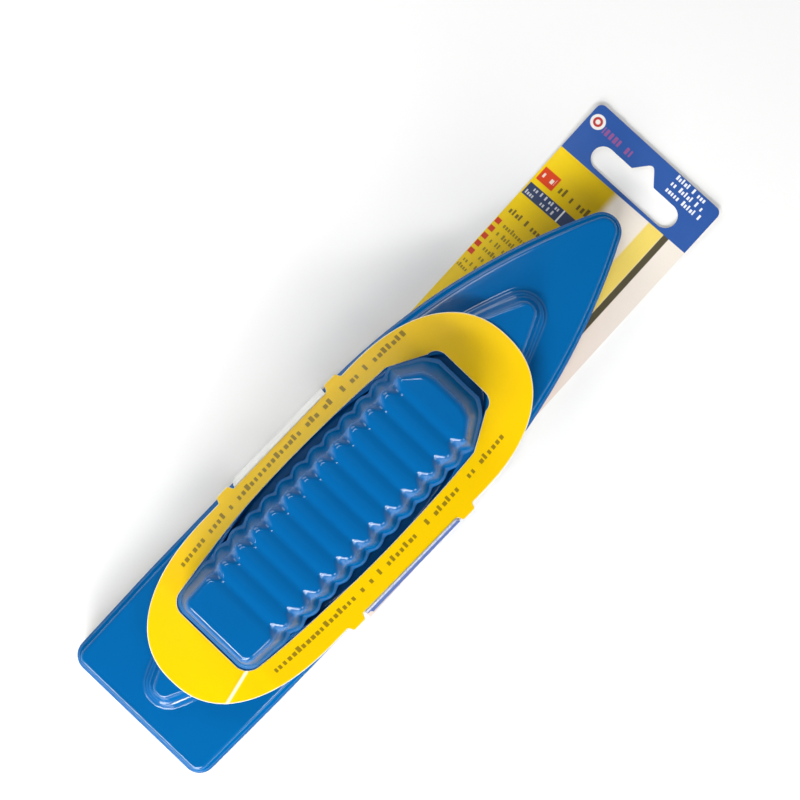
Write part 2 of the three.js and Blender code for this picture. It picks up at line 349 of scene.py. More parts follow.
def leave(start, angle, inside):
    """Where a ray from a point inside a shape leaves it."""
    near, far = 0.0, 80.0
    for _ in range(30):
        middle = (near + far) / 2
        if inside(start[0] + middle * math.cos(angle), start[1] + middle * math.sin(angle)):
            near = middle
        else:
            far = middle
    return start[0] + near * math.cos(angle), start[1] + near * math.sin(angle)


# ---------------------------------------------------------------- mesh building


def closed_ring(half, z):
    """A full ring of points at one height from its right half."""
    return [(x, y, z) for x, y in half] + [(-x, y, z) for x, y in reversed(half)]


class Build:
    """Collects the points and faces of one closed mesh, with a material number for each face."""

    def __init__(self):
        self.points = []
        self.faces = []
        self.kinds = []

    def add(self, ring):
        first = len(self.points)
        self.points += ring
        return list(range(first, len(self.points)))

    def bridge(self, lower, upper, kind=0):
        for i in range(len(lower)):
            j = (i + 1) % len(lower)
            self.face((lower[i], lower[j], upper[j], upper[i]), kind)

    def face(self, corners, kind=0):
        self.faces.append(corners)
        self.kinds.append(kind)

    def close(self, path, first_columns, last_columns):
        """Joins each ring to the next, and fills the first and the last one."""
        for low, high in zip(path, path[1:]):
            self.bridge(low, high)
        self.rungs(path[0], first_columns, up=False)
        self.rungs(path[-1], last_columns, up=True)

    def rungs(self, ring, columns, up):
        """Fills a ring with rows from its right side to its left side."""
        rows = []
        half = len(ring) // 2
        for i in range(half):
            a, b = ring[i], ring[len(ring) - 1 - i]
            row = [a]
            if 0 < i < half - 1:
                for c in range(1, columns):
                    p = Vector(self.points[a]).lerp(Vector(self.points[b]), c / columns)
                    row += self.add([tuple(p)])
            rows.append(row + [b])
        for low, high in zip(rows, rows[1:]):
            if len(low) == len(high):
                strips = [(low[c], high[c], high[c + 1], low[c + 1]) for c in range(len(low) - 1)]
            elif len(low) == 2:
                strips = [(low[0], *high, low[-1])]
            else:
                strips = [(*low[::-1], high[0], high[-1])]
            for corners in strips:
                self.face(corners if up else corners[::-1])

    def piece(self, name, materials, sharp=40, place=None):
        mesh = bpy.data.meshes.new(name)
        place = place or (lambda x, y, z: (x, y, z))
        local = [place(*p) for p in self.points]
        world = [(AXIS_X + x * MM, REAR_Y + y * MM, z * MM) for x, y, z in local]
        mesh.from_pydata(world, [], self.faces)
        for material in materials:
            mesh.materials.append(material)
        mesh.polygons.foreach_set("material_index", self.kinds)
        mesh.polygons.foreach_set("use_smooth", [True] * len(self.faces))
        mesh.set_sharp_from_angle(angle=math.radians(sharp))
        mesh.validate()
        obj = bpy.data.objects.new(name, mesh)
        bpy.context.collection.objects.link(obj)
        return obj


def store(obj, name, values):
    """Keeps one vector for each point of a mesh, which its material reads by that name."""
    attribute = obj.data.attributes.new(name, "FLOAT_VECTOR", "POINT")
    attribute.data.foreach_set("vector", [number for value in values for number in value])


# ---------------------------------------------------------------- materials


class Nodes:
    """A material's node tree, with short calls for the nodes that these finishes use."""

    def __init__(self, name):
        self.material = bpy.data.materials.new(name)
        self.material.use_nodes = True
        self.tree = self.material.node_tree
        self.shader = self.tree.nodes["Principled BSDF"]

    def add(self, kind, **settings):
        node = self.tree.nodes.new("ShaderNode" + kind)
        for key, value in settings.items():
            setattr(node, key, value)
        return node

    def feed(self, socket, value):
        if isinstance(value, bpy.types.NodeSocket):
            self.tree.links.new(value, socket)
        elif isinstance(value, tuple) and len(value) == 3 and socket.type == "RGBA":
            socket.default_value = (*value, 1)
        else:
            socket.default_value = value

    def math(self, operation, a, b=0.0, c=0.0, clamp=False):
        node = self.add("Math", operation=operation, use_clamp=clamp)
        for socket, value in zip(node.inputs, (a, b, c)):
            self.feed(socket, value)
        return node.outputs[0]

    def mix(self, share, a, b):
        node = self.add("Mix", data_type="RGBA")
        for socket, value in ((node.inputs[0], share), (node.inputs[6], a), (node.inputs[7], b)):
            self.feed(socket, value)
        return node.outputs[2]

    def step(self, value, low, high):
        node = self.add("MapRange", interpolation_type="SMOOTHSTEP")
        for socket, number in zip(node.inputs, (value, low, high, 0.0, 1.0)):
            self.feed(socket, number)
        return node.outputs[0]

    def band(self, value, low, high, soft=0.12):
        """1 between low and high, with soft edges."""
        rise = self.step(value, low - soft, low + soft)
        fall = self.step(value, high - soft, high + soft)
        return self.math("SUBTRACT", rise, fall, clamp=True)

    def box(self, x, y, across, along, soft=0.12):
        return self.math("MULTIPLY", self.band(x, *across, soft), self.band(y, *along, soft))

    def stored(self, name):
        node = self.add("Attribute", attribute_type="GEOMETRY", attribute_name=name)
        parts = self.add("SeparateXYZ")
        self.tree.links.new(node.outputs["Vector"], parts.inputs[0])
        return parts.outputs

    def place(self, scale=(1, 1, 1)):
        """Place on the piece itself, in metres."""
        coordinates = self.add("TexCoord").outputs["Object"]
        mapping = self.add("Mapping")
        self.tree.links.new(coordinates, mapping.inputs["Vector"])
        mapping.inputs["Scale"].default_value = scale
        return mapping.outputs[0]

    def upright(self):
        """The normal's height: 1 where the surface faces up and 0 where it is a wall."""
        parts = self.add("SeparateXYZ")
        self.tree.links.new(self.add("NewGeometry").outputs["Normal"], parts.inputs[0])
        return parts.outputs[2]

    def noise(self, vector, scale, detail=3.0, rough=0.5):
        node = self.add("TexNoise")
        self.tree.links.new(vector, node.inputs["Vector"])
        node.inputs["Scale"].default_value = scale
        node.inputs["Detail"].default_value = detail
        node.inputs["Roughness"].default_value = rough
        return node.outputs["Fac"]

    def cells(self, vector, scale):
        node = self.add("TexVoronoi")
        self.tree.links.new(vector, node.inputs["Vector"])
        node.inputs["Scale"].default_value = scale
        return node.outputs["Distance"]

    def chance(self, value):
        """An even random number for each whole number."""
        node = self.add("TexWhiteNoise", noise_dimensions="1D")
        self.feed(node.inputs["W"], value)
        return node.outputs["Value"]

    def bump(self, height, distance, strength=1.0, normal=None):
        node = self.add("Bump")
        self.feed(node.inputs["Height"], height)
        node.inputs["Distance"].default_value = distance
        node.inputs["Strength"].default_value = strength
        if normal:
            self.tree.links.new(normal, node.inputs["Normal"])
        return node.outputs[0]

    def rows(self, value, first, pitch):
        """Number of the row that a place falls in, and the place within that row."""
        scaled = self.math("DIVIDE", self.math("SUBTRACT", value, first), pitch)
        return self.math("FLOOR", scaled), self.math("MULTIPLY", self.math("FRACT", scaled), pitch)

    def greeked(self, along, up, span, foot, pitch, height, seed):
        """A line of small blocks in word-like groups, which stands in for printed words."""
        cell, within = self.rows(along, 0.0, pitch)
        place = self.math("ADD", cell, seed)
        luck = self.chance(place)
        tall = self.math("GREATER_THAN", luck, 0.74)
        inked = self.math("GREATER_THAN", luck, 0.15)
        other = self.chance(self.math("ADD", place, 71.3))
        width = self.math("MULTIPLY_ADD", other, 0.26 * pitch, 0.58 * pitch)
        reach = self.math("MULTIPLY_ADD", tall, 0.45 * height, height)
        rise = self.math("SUBTRACT", up, foot)
        soft = 0.08 * height
        above = self.step(rise, -soft, soft)
        below = self.step(self.math("SUBTRACT", reach, rise), -soft, soft)
        after = self.step(within, 0.05 * pitch, 0.16 * pitch)
        before = self.step(self.math("SUBTRACT", width, within), -0.06, 0.06)
        ends = self.band(along, *span, 0.1)
        return self.product(above, below, after, before, inked, ends)

    def product(self, *shares):
        total = shares[0]
        for share in shares[1:]:
            total = self.math("MULTIPLY", total, share)
        return total

    def ink(self, field, mask, strength, colour):
        """Prints a colour over a field where a mask is 1."""
        return self.mix(self.math("MULTIPLY", mask, strength), field, colour)

    def finish(self, colour, roughness, normal=None, **fixed):
        self.feed(self.shader.inputs["Base Color"], colour)
        self.feed(self.shader.inputs["Roughness"], roughness)
        if normal:
            self.tree.links.new(normal, self.shader.inputs["Normal"])
        for name, value in fixed.items():
            self.feed(self.shader.inputs[name.replace("_", " ")], value)
        return self.material


def linear(red, green, blue):
    """A colour from 0 to 255 a channel, as light."""
    channels = (red, green, blue)
    return tuple(((c / 255 + 0.055) / 1.055) ** 2.4 if c > 10 else c / 3294.6 for c in channels)


def shell_plastic(name, wall_shine):
    """Blue moulded plastic: polished tops, satin walls from the mould, flow marks and fine scuffs."""
    top_shine = 0.6
    n = Nodes(name)
    place = n.place()
    flow = n.noise(n.place((1, 0.35, 1)), 28, 4)
    tone = n.mix(flow, linear(0, 91, 156), linear(0, 101, 166))
    scuffs = n.noise(n.place((1, 6, 1)), 260, 5, 0.7)
    shine = n.step(n.upright(), 0.3, 0.62)
    rough = n.math("MULTIPLY_ADD", scuffs, 0.04, n.math("MULTIPLY_ADD", shine, -0.24, 0.29))
    waves = n.bump(n.noise(place, 60, 2), 0.0003, 0.25)
    grain = n.bump(n.noise(place, 2200, 2), 0.00002, 0.2, waves)
    level = n.math("MULTIPLY_ADD", shine, top_shine - wall_shine, wall_shine)
    return n.finish(tone, rough, grain, IOR=1.5, Specular_IOR_Level=level)


def coated_card(n, colour, gloss=0.22):
    """Shine, fibre relief and fine ink mottle shared by the printed faces."""
    place = n.place()
    fibres = n.noise(n.place((1, 4, 1)), 900, 4, 0.7)
    mottle = n.noise(place, 1400, 2)
    toned = n.mix(n.math("MULTIPLY", mottle, 0.05), colour, linear(120, 96, 40))
    rough = n.math("MULTIPLY_ADD", fibres, 0.1, 0.14)
    waves = n.bump(n.noise(place, 45, 2), 0.0006, 0.25)
    relief = n.bump(fibres, 0.00004, 0.4, waves)
    return n.finish(toned, rough, relief, IOR=1.45, Specular_IOR_Level=gloss)


def ring_print():
    """Yellow print with a bowed line of greeked words along each side, a painted highlight along the
    bent corner's crease, and worn edges.
    """
    n = Nodes("ring_print")
    x, y, edge = n.stored("print_mm")
    fade = n.noise(n.place(), 18, 2)
    yellow = n.mix(fade, linear(243, 195, 0), linear(248, 205, 0))
    lines = []
    for middle, bend, foot, span, seed in (
        (113.0, 0.0008, 27.3, (52, 163), 3.0),
        (102.0, -0.00074, -26.1, (48, 161), 57.0),
    ):
        off = n.math("SUBTRACT", y, middle)
        bow = n.product(off, off, bend)
        up = n.math("SUBTRACT", n.math("ADD", n.math("MULTIPLY", x, -1.0), bow), foot)
        lines.append(n.greeked(y, up, span, 0.0, 2.15, 1.5, seed))
    inked = n.ink(yellow, n.math("MAXIMUM", *lines), 0.72, linear(78, 60, 26))
    # painted highlight: a pale streak along the crease of the bent rear-right corner
    fold = n.math("ADD", x, n.math("MULTIPLY_ADD", y, 0.223, -25.37))
    bent = n.product(n.band(fold, -0.55, 0.45, 0.4), n.band(y, 25.0, 42.5, 1.5))
    inked = n.ink(inked, bent, 0.85, linear(255, 250, 225))
    rim = n.math("SUBTRACT", 1.0, n.step(edge, 0.05, 0.5))
    worn = n.math("MULTIPLY", rim, n.noise(n.place(), 700, 3))
    return coated_card(n, n.mix(worn, inked, linear(250, 240, 190)))


def panel_print():
    n = Nodes("side_panel_print")
    drop = n.stored("print_mm")[2]
    slate = n.mix(n.noise(n.place(), 30, 2), linear(88, 110, 168), linear(98, 120, 178))
    crease = n.math("SUBTRACT", 1.0, n.step(drop, 0.2, 1.0))
    worn = n.math("MULTIPLY", crease, n.noise(n.place((1, 3, 1)), 500, 4))
    return coated_card(n, n.mix(worn, slate, linear(235, 235, 235)), 0.0)


def white_panel():
    n = Nodes("white_panel_print")
    drop = n.stored("print_mm")[2]
    white = n.mix(n.noise(n.place(), 30, 2), linear(248, 247, 243), linear(253, 252, 250))
    # painted shade: the white greys toward the top crease, where the card folds over
    crease = n.math("SUBTRACT", 1.0, n.step(drop, 0.2, 0.9))
    return coated_card(n, n.mix(n.math("MULTIPLY", crease, 0.3), white, linear(170, 165, 150)))


def back_print():
    """Blue header over a yellow and beige field, with generic bars, bullets and greeked lines."""
    n = Nodes("back_card_print")
    x, y, _ = n.stored("print_mm")
    skewed = n.math("MULTIPLY_ADD", x, -0.022, y)
    dark, white = linear(70, 58, 30), linear(235, 235, 235)
    list_low, list_high = 200.4, 218.2
    note_low, note_high = 194.4, 199.6
    bar = (230.0, 235.2)
    header_edge, address_low = 251.8, 263.6

    # the field: yellow beside beige, with a pale and a dark stripe; the yellow darkens toward x −6 as
    # painted shade from the pad's nose
    yellow = n.mix(n.step(x, -29, -6), linear(250, 212, 0), linear(205, 172, 0))
    beige = n.mix(n.step(y, 180, 250), linear(236, 222, 214), linear(240, 231, 220))
    field = n.mix(n.step(x, -4.6, -0.8), yellow, beige)
    field = n.mix(n.band(x, 12.3, 19.2, 0.5), field, linear(240, 214, 108))
    field = n.mix(n.band(x, 19.2, 21.6, 0.15), field, linear(84, 79, 62))

    # a list with square bullets, and a note under it
    row, up = n.rows(y, list_low, 3.57)
    listed = n.band(y, list_low, list_high, 0.05)
    bullet = n.product(n.box(x, up, (-28.9, -26.8), (0.6, 2.7)), listed)
    field = n.mix(bullet, field, linear(214, 60, 20))
    line = n.greeked(x, up, (-25.4, -5), 0.9, 1.15, 1.3, n.math("MULTIPLY", row, 11.0))
    field = n.ink(field, n.product(line, listed), 0.7, dark)
    row, up = n.rows(y, note_low, 2.6)
    line = n.greeked(x, up, (-28.6, -8), 0.5, 1.0, 1.1, n.math("MULTIPLY", row, 7.0))
    field = n.ink(field, n.product(line, n.band(y, note_low, note_high, 0.05)), 0.7, dark)

    # a heading and a title
    heading = n.greeked(x, y, (-27.8, -9), 221.1, 1.45, 1.6, 33.0)
    title = n.greeked(x, y, (-19.2, -3), 238.0, 1.75, 2.1, 47.0)
    field = n.ink(field, n.math("MAXIMUM", heading, title), 0.85, dark)

    # a slate bar with two lines and a divider, and a red label
    field = n.mix(n.box(x, skewed, (-28.6, -4), bar), field, linear(52, 68, 104))
    field = n.mix(n.box(x, skewed, (-12.9, -12.3), bar), field, white)
    row, up = n.rows(skewed, 230.3, 2.4)
    line = n.greeked(x, up, (-27.8, -14), 0.5, 1.0, 1.1, n.math("MULTIPLY", row, 5.0))
    line = n.product(line, n.band(skewed, 230.3, 235.1, 0.05))
    field = n.ink(field, line, 0.8, linear(225, 228, 235))
    field = n.mix(n.box(x, skewed, (-28.2, -20.9), (237.2, 242.8), 0.2), field, linear(222, 66, 26))
    label = n.greeked(x, skewed, (-27.2, -21.8), 239.1, 1.7, 1.7, 140.0)
    field = n.ink(field, label, 0.9, linear(250, 235, 220))

    # the blue header: a pink line, a ragged white block and a plain roundel
    blue = n.mix(n.noise(n.place(), 35, 2), linear(40, 84, 160), linear(54, 96, 170))
    field = n.mix(n.step(skewed, header_edge - 0.1, header_edge + 0.1), field, blue)
    pale = n.greeked(x, y, (-21.8, -8.6), 264.2, 1.9, 2.6, 152.0)
    field = n.ink(field, pale, 0.5, linear(196, 90, 130))
    row, up = n.rows(y, address_low, 2.85)
    ragged = n.math("MULTIPLY_ADD", row, -1.6, 25.4)
    line = n.greeked(x, up, (8.6, 40), 0.6, 1.25, 1.35, n.math("MULTIPLY", row, 3.0))
    short = n.math("LESS_THAN", x, ragged)
    line = n.product(line, short, n.band(y, address_low, 272.1, 0.05))
    field = n.mix(line, field, linear(235, 240, 250))
    across, along = n.math("SUBTRACT", x, -25.2), n.math("SUBTRACT", y, 266.2)
    reach = n.math("SQRT", n.math("ADD", n.product(across, across), n.product(along, along)))
    field = n.mix(n.math("SUBTRACT", 1.0, n.step(reach, 2.7, 2.95)), field, linear(240, 236, 232))
    field = n.mix(n.band(reach, 0.9, 1.8, 0.12), field, linear(188, 60, 60))
    return coated_card(n, field)


def cut_card(name, low, high):
    """Bare board: the cut edges and unprinted backs, with fibres and faint layers."""
    n = Nodes(name)
    fibres = n.noise(n.place((1, 1, 12)), 1500, 5, 0.7)
    colour = n.mix(fibres, low, high)
    return n.finish(colour, 0.75, n.bump(fibres, 0.00006, 0.6), IOR=1.45)


def carrier_board():
    n = Nodes("carrier_board")
    flecks = n.cells(n.place((1, 3, 1)), 420)
    tone = n.mix(n.noise(n.place(), 260, 5, 0.7), linear(150, 122, 88), linear(188, 160, 120))
    tone = n.mix(n.math("SUBTRACT", 1.0, n.step(flecks, 0.05, 0.2)), tone, linear(110, 88, 60))
    return n.finish(tone, 0.85, n.bump(n.noise(n.place(), 900, 4), 0.0001, 0.6))


def adhesive_film():
    n = Nodes("adhesive_film")
    wrinkles = n.noise(n.place((1, 0.2, 1)), 180, 4)
    tone = n.mix(wrinkles, linear(228, 220, 190), linear(246, 242, 226))
    return n.finish(tone, 0.32, n.bump(wrinkles, 0.0001, 0.5), IOR=1.47)


def foam_skin():
    """Open-cell foam: pores of two sizes, pale walls, and painted shade that darkens the hollows."""
    n = Nodes("foam")
    place = n.place()
    large = n.cells(place, 900)
    small = n.cells(place, 2300)
    pores = n.math("MULTIPLY", n.step(large, 0.12, 0.5), n.step(small, 0.08, 0.45))
    # painted shade: the pores' hollows are coloured darker than the walls
    tone = n.mix(pores, linear(176, 170, 154), linear(238, 236, 226))
    tone = n.mix(n.math("MULTIPLY", n.noise(place, 60, 2), 0.25), tone, linear(226, 214, 184))
    return n.finish(tone, 0.92, n.bump(pores, 0.0004, 0.8), Subsurface_Weight=0.12)


def nap_fabric():
    """Woven backing of the pile: fine crossing yarns."""
    n = Nodes("nap_backing")
    warp = n.add("TexWave", wave_type="BANDS", bands_direction="X")
    weft = n.add("TexWave", wave_type="BANDS", bands_direction="Y")
    for wave in (warp, weft):
        n.tree.links.new(n.place(), wave.inputs["Vector"])
        wave.inputs["Scale"].default_value = 520
        wave.inputs["Distortion"].default_value = 1.2
    weave = n.math("MULTIPLY", warp.outputs["Fac"], weft.outputs["Fac"])
    tone = n.mix(weave, linear(214, 206, 186), linear(246, 242, 230))
    return n.finish(tone, 0.95, n.bump(weave, 0.00015, 0.7), Sheen_Weight=0.3)


def pile_fibre():
    n = Nodes("pile_fibre")
    tone = n.mix(n.noise(n.place(), 1200, 3), linear(226, 220, 202), linear(252, 250, 242))
    strands = n.noise(n.place((1, 1, 8)), 3000, 2)
    return n.finish(tone, 0.9, n.bump(strands, 0.00003, 0.5), Sheen_Weight=0.4)


# ---------------------------------------------------------------- the tool


def levels(b, outline, profile):
    """Adds an outline once for each level of a profile."""
    return [b.add(closed_ring(outline(inset), z)) for inset, z in profile]


def top_shell(material):
    """One thin moulding: from under the moat's floor, out round the skirt, and in to the floor's top."""
    b = Build()
    under = [(4.8, PLATE_TOP - SHELL_WALL), (3.6, 12.5), (SHELL_WALL, 12), (SHELL_WALL, SKIRT_BOTTOM)]
    path = levels(b, moat, [(2.5, MOAT - SHELL_WALL)]) + levels(b, plate_half, under + SKIRT_PROFILE)
    path += levels(b, leaf, PLATFORM_PROFILE) + levels(b, moat, MOAT_PROFILE)
    b.close(path, 4, 6)
    return b.piece("top_shell_moulding", [material], sharp=55)


def grip(material):
    """The grip: each groove's end opens into a soft funnel, and the crests between keep a tight edge."""
    b = Build()
    crest = CREST_PROFILE + fillet(CREST_PROFILE[-1], 74, 2.5, 16)
    vale = VALE_PROFILE + fillet(VALE_PROFILE[-1], 74, 3.4, 9)[:6]
    vale += fillet(vale[-1], 38, 6.0, 10)
    sink = GRIP_TOP - vale[-1][1] - GROOVE_DEPTH
    vale = [(inset, z + sink * smooth(24, 44, z)) for inset, z in vale]
    lift = GRIP_TOP - crest[-1][1]
    crest = [(inset, z + lift * smooth(24, 42, z)) for inset, z in crest]
    crest.append((crest[-1][0] + 0.3, GRIP_TOP))
    vale.append((vale[-1][0] + 0.3, vale[-1][1]))
    outer = []
    for (inset, z), (vale_inset, vale_z) in zip(crest, vale):
        right = []
        for x, y in grip_half(inset):
            share = groove_share(y)
            right.append((x - (vale_inset - inset) * share, y, mix(z, vale_z, share)))
        left = [(-x, y, h) for x, y, h in reversed(right)]
        outer.append(b.add(right + left))
    path = levels(b, grip_half, [(9.6, 41.5), (6.4, 33), (3.4, GRIP_FOOT)]) + outer
    b.close(path, 2, 12)
    return b.piece(
        "grip_moulding", [material], sharp=60, place=lambda x, y, z: (x + GRIP_SHIFT, y, z)
    )


def fillet(start, tilt, radius, steps):
    """A round edge in profile, from a wall whose normal leans by a tilt up to a level top."""
    lean = math.radians(tilt)
    points = []
    for i in range(1, steps + 1):
        angle = lean * (1 - i / steps)
        across = radius * (math.sin(lean) - math.sin(angle))
        points.append((start[0] + across, start[1] + radius * (math.cos(angle) - math.cos(lean))))
    return points


def foam(material):
    """Foam layer with cut walls that bulge a little between the board and the nap."""
    b = Build()
    low, high = (v.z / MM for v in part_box("foam_pad"))
    rows = 9
    profile = []
    for i in range(rows + 1):
        t = i / rows
        bulge = 0.55 * math.sin(math.pi * t) - 0.25 * (abs(2 * t - 1) ** 6)
        profile.append((0.9 - bulge, mix(low, high, t)))
    slab(b, profile)
    roughen(b, 0.22, 0.55)
    return b.piece("foam_layer", [material])


def slab(b, profile):
    """A closed layer with the plate's outline."""
    b.close(levels(b, plate_half, profile), 8, 8)


def roughen(b, reach, scale):
    """Moves each point a little sideways, the same way in every run."""
    noise.seed_set(ROUGH_SEED)
    for i, (x, y, z) in enumerate(b.points):
        shift = noise.noise_vector(Vector((x, y, z)) * scale)
        b.points[i] = (x + reach * shift.x, y + reach * shift.y, z)


def nap(material):
    """The pile's woven backing, and the area in square metres of the flat cloth it is cut from."""
    b = Build()
    low, high = (v.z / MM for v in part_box("nap_face"))
    backing = mix(low, high, 0.62)
    slab(b, [(NAP_INSET + 0.3, backing), (NAP_INSET, backing + 0.4), (NAP_INSET + 0.1, high)])
    roughen(b, 0.15, 0.8)
    piece = b.piece("nap_backing_cloth", [material])
    cut = plate_half(NAP_INSET)
    area = sum((ax + bx) * (by - ay) for (ax, ay), (bx, by) in zip(cut, cut[1:]))
    return piece, area * MM**2


def pile(material):
    """Short tapered tufts that hang from the backing and splay at the pad's edge."""
    b = Build()
    low, high = (v.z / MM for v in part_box("nap_face"))
    root = mix(low, high, 0.66)
    rand = random.Random(PILE_SEED)
    for row in range(PILE_ROWS):
        half = plate_half(0.9 + 0.75 * row)
        loop = half + [(-x, y) for x, y in reversed(half)]
        spacing = 0.62 + 0.1 * row
        for x, y, normal in walk(loop, spacing):
            splay = max(0, 0.9 - 0.35 * row) + rand.uniform(-0.25, 0.35)
            lean = rand.uniform(-0.5, 0.5)
            tip = (x + normal[0] * splay - normal[1] * lean, y + normal[1] * splay + normal[0] * lean)
            tuft(b, (x, y, root), (*tip, low + rand.uniform(0.0, 0.45)), rand)
    return b.piece("nap_pile", [material], sharp=80)


def walk(loop, spacing):
    """Evenly spaced stations round a closed loop, each with its outward direction."""
    rest = 0
    for a, b in zip(loop, loop[1:] + loop[:1]):
        length = math.dist(a, b)
        if length < 1e-6:
            continue
        normal = ((b[1] - a[1]) / length, (a[0] - b[0]) / length)
        while rest < length:
            yield mix(a[0], b[0], rest / length), mix(a[1], b[1], rest / length), normal
            rest += spacing
        rest -= length


def tuft(b, root, tip, rand):
    """A closed four-sided tuft, thick at its root and blunt at its tip."""
    turn = rand.uniform(0, math.pi)
    width = rand.uniform(0.26, 0.36)
    top = []
    end = []
    for k in range(4):
        angle = turn + math.pi / 2 * k
        c, s = math.cos(angle), math.sin(angle)
        top.append((root[0] + width * c, root[1] + width * s, root[2]))
        end.append((tip[0] + 0.45 * width * c, tip[1] + 0.45 * width * s, tip[2]))
    low, high = b.add(end), b.add(top)
    b.bridge(low, high)
    b.face(tuple(reversed(low)))
    b.face(tuple(high))


# ---------------------------------------------------------------- the card


def ring_drop(x, y):
    """How far the ring hangs where nothing is under it, at its two creases and at its bent corner."""
    hang = 0.35 * smooth(8, 30, abs(y - RING_MIDDLE) - 62) * smooth(4, 22, abs(x))
    strap = smooth(STRAP[0] - 30, STRAP[0] + 8, y) * (1 - smooth(STRAP[1] - 8, STRAP[1] + 30, y))
    slope = strap * max(0, abs(x) - 19.5) * 0.05
    fold = x - mix(18.9, 16.0, (y - 29) / 13)
    near = smooth(22, 30, y) * (1 - smooth(41, 46, y)) * (x > 0)
    ridge = 0.34 * math.exp(-((fold / 0.66) ** 2)) - 0.3 * smooth(0, 3, fold)
    return hang + slope - near * ridge


def front_ring(materials):
    """The flat oval ring: printed top, bare back, and a pale cut edge that is slightly crushed."""
    b = Build()
    top = RING_BOTTOM + CARD
    pairs = ring_rays()
    steps = 30
    lip = 0.16
    rows = []
    for k in range(steps + 1):
        row = []
        for (hx, hy), (ox, oy) in pairs:
            length = math.dist((hx, hy), (ox, oy))
            t = min(1, max(0, (length * k / steps - lip) / (length - 2 * lip)))
            t = mix(lip / length, 1 - lip / length, t)
            row.append((mix(hx, ox, t), mix(hy, oy, t)))
        rows.append(row)
    hole = [pair[0] for pair in pairs]
    rim = [pair[1] for pair in pairs]
    printed = []

    def layer(half, depth, share):
        """Adds a loop of points, and keeps each one's place in the print and how far the rim is."""
        right = [(x, y, top - depth - ring_drop(x, y)) for x, y in half]
        left = [(-x, y, top - depth - ring_drop(-x, y)) for x, y in reversed(half)]
        flat = []
        for inner, outer in pairs:
            x, y = mix(inner[0], outer[0], share), mix(inner[1], outer[1], share)
            flat.append((x, y, (1 - share) * math.dist(inner, outer)))
        flat += [(-x, y, far) for x, y, far in reversed(flat)]
        printed.extend((x + hole_shift(y, share), y, far) for x, y, far in flat)
        return b.add([(x + hole_shift(y, share) + ring_shift(y), y, z) for x, y, z in right + left])

    def stack(lip_depth, depth):
        rings = [layer(row, depth, k / steps) for k, row in enumerate(rows)]
        return [layer(hole, lip_depth, 0), *rings, layer(rim, lip_depth, 1)]

    upper = stack(0.1, 0)
    lower = stack(CARD, CARD)
    for k, (low, high) in enumerate(zip(upper, upper[1:])):
        b.bridge(high, low, 1 if k in (0, len(upper) - 2) else 0)
    for low, high in zip(lower, lower[1:]):
        b.bridge(low, high, 2)
    b.bridge(lower[-1], upper[-1], 1)
    b.bridge(upper[0], lower[0], 1)
    piece = b.piece("oval_front_ring", materials, sharp=30)
    store(piece, "print_mm", printed)
    return piece


def hole_shift(y, share):
    """The hole lies off the oval's centre line; share runs from 0 at the hole to 1 at the outer edge."""
    return -(0.7 + 0.6 * smooth(46, 84, y)) * (1 - share)


def ring_shift(y):
    """The ring lies turned by a hair against the tool."""
    return 0.15 + 0.006 * (y - 20)


def side_panel(name, side, knots, materials):
    """A bowed card strip from the ring's crease down to the back card's crease."""
    b = Build()
    path = catmull(knots, 7)
    columns = 40
    start, end = PANEL
    inside, outside = [], []
    for i, (x, z) in enumerate(path):
        ahead = path[min(i + 1, len(path) - 1)]
        behind = path[max(i - 1, 0)]
        run = math.dist(ahead, behind)
        nx, nz = (behind[1] - ahead[1]) / run, (ahead[0] - behind[0]) / run
        ease = smooth(0, 4, i) * 0.25
        rows = [mix(start + ease, end - ease, c / columns) for c in range(columns + 1)]
        slide = smooth(2, 20, z)
        inside.append(b.add([(side * x + slide * ring_shift(y), y, z) for y in rows]))
        outer = [(side * (x + CARD * nx) + slide * ring_shift(y), y, z + CARD * nz) for y in rows]
        outside.append(b.add(outer))
    flip = side < 0

    def quad(p, q, r, s, kind):
        b.face((s, r, q, p) if flip else (p, q, r, s), kind)

    for i in range(len(path) - 1):
        for c in range(columns):
            quad(outside[i][c], outside[i + 1][c], outside[i + 1][c + 1], outside[i][c + 1], 0)
            quad(inside[i][c], inside[i][c + 1], inside[i + 1][c + 1], inside[i + 1][c], 2)
        quad(inside[i][0], inside[i + 1][0], outside[i + 1][0], outside[i][0], 1)
        quad(inside[i + 1][-1], inside[i][-1], outside[i][-1], outside[i + 1][-1], 1)
    for c in range(columns):
        quad(inside[0][c], outside[0][c], outside[0][c + 1], inside[0][c + 1], 1)
        quad(inside[-1][c + 1], outside[-1][c + 1], outside[-1][c], inside[-1][c], 1)
    piece = b.piece(name, materials, sharp=50)
    store(piece, "print_mm", [(x, y, max(0, path[0][1] - z)) for x, y, z in b.points])
    return piece


def catmull(knots, steps):
    """A smooth curve through every knot."""
    points = []
    ends = [knots[0]] + knots + [knots[-1]]
    for near in zip(ends, ends[1:], ends[2:], ends[3:]):
        for i in range(steps):
            t = i / steps
            weights = (
                -t**3 + 2 * t**2 - t,
                3 * t**3 - 5 * t**2 + 2,
                -3 * t**3 + 4 * t**2 + t,
                t**3 - t**2,
            )
            x, y = (sum(w * p[k] for w, p in zip(weights, near)) / 2 for k in (0, 1))
            points.append((x, y))
    return points + [knots[-1]]


def turned(x, y):
    """Place of a point of the back card, once the card is turned a little under the pad."""
    dx, dy = x, y - CARD_PIVOT[1]
    c, s = math.cos(CARD_TURN), math.sin(CARD_TURN)
    return CARD_PIVOT[0] + dx * c - dy * s, CARD_PIVOT[1] + dx * s + dy * c


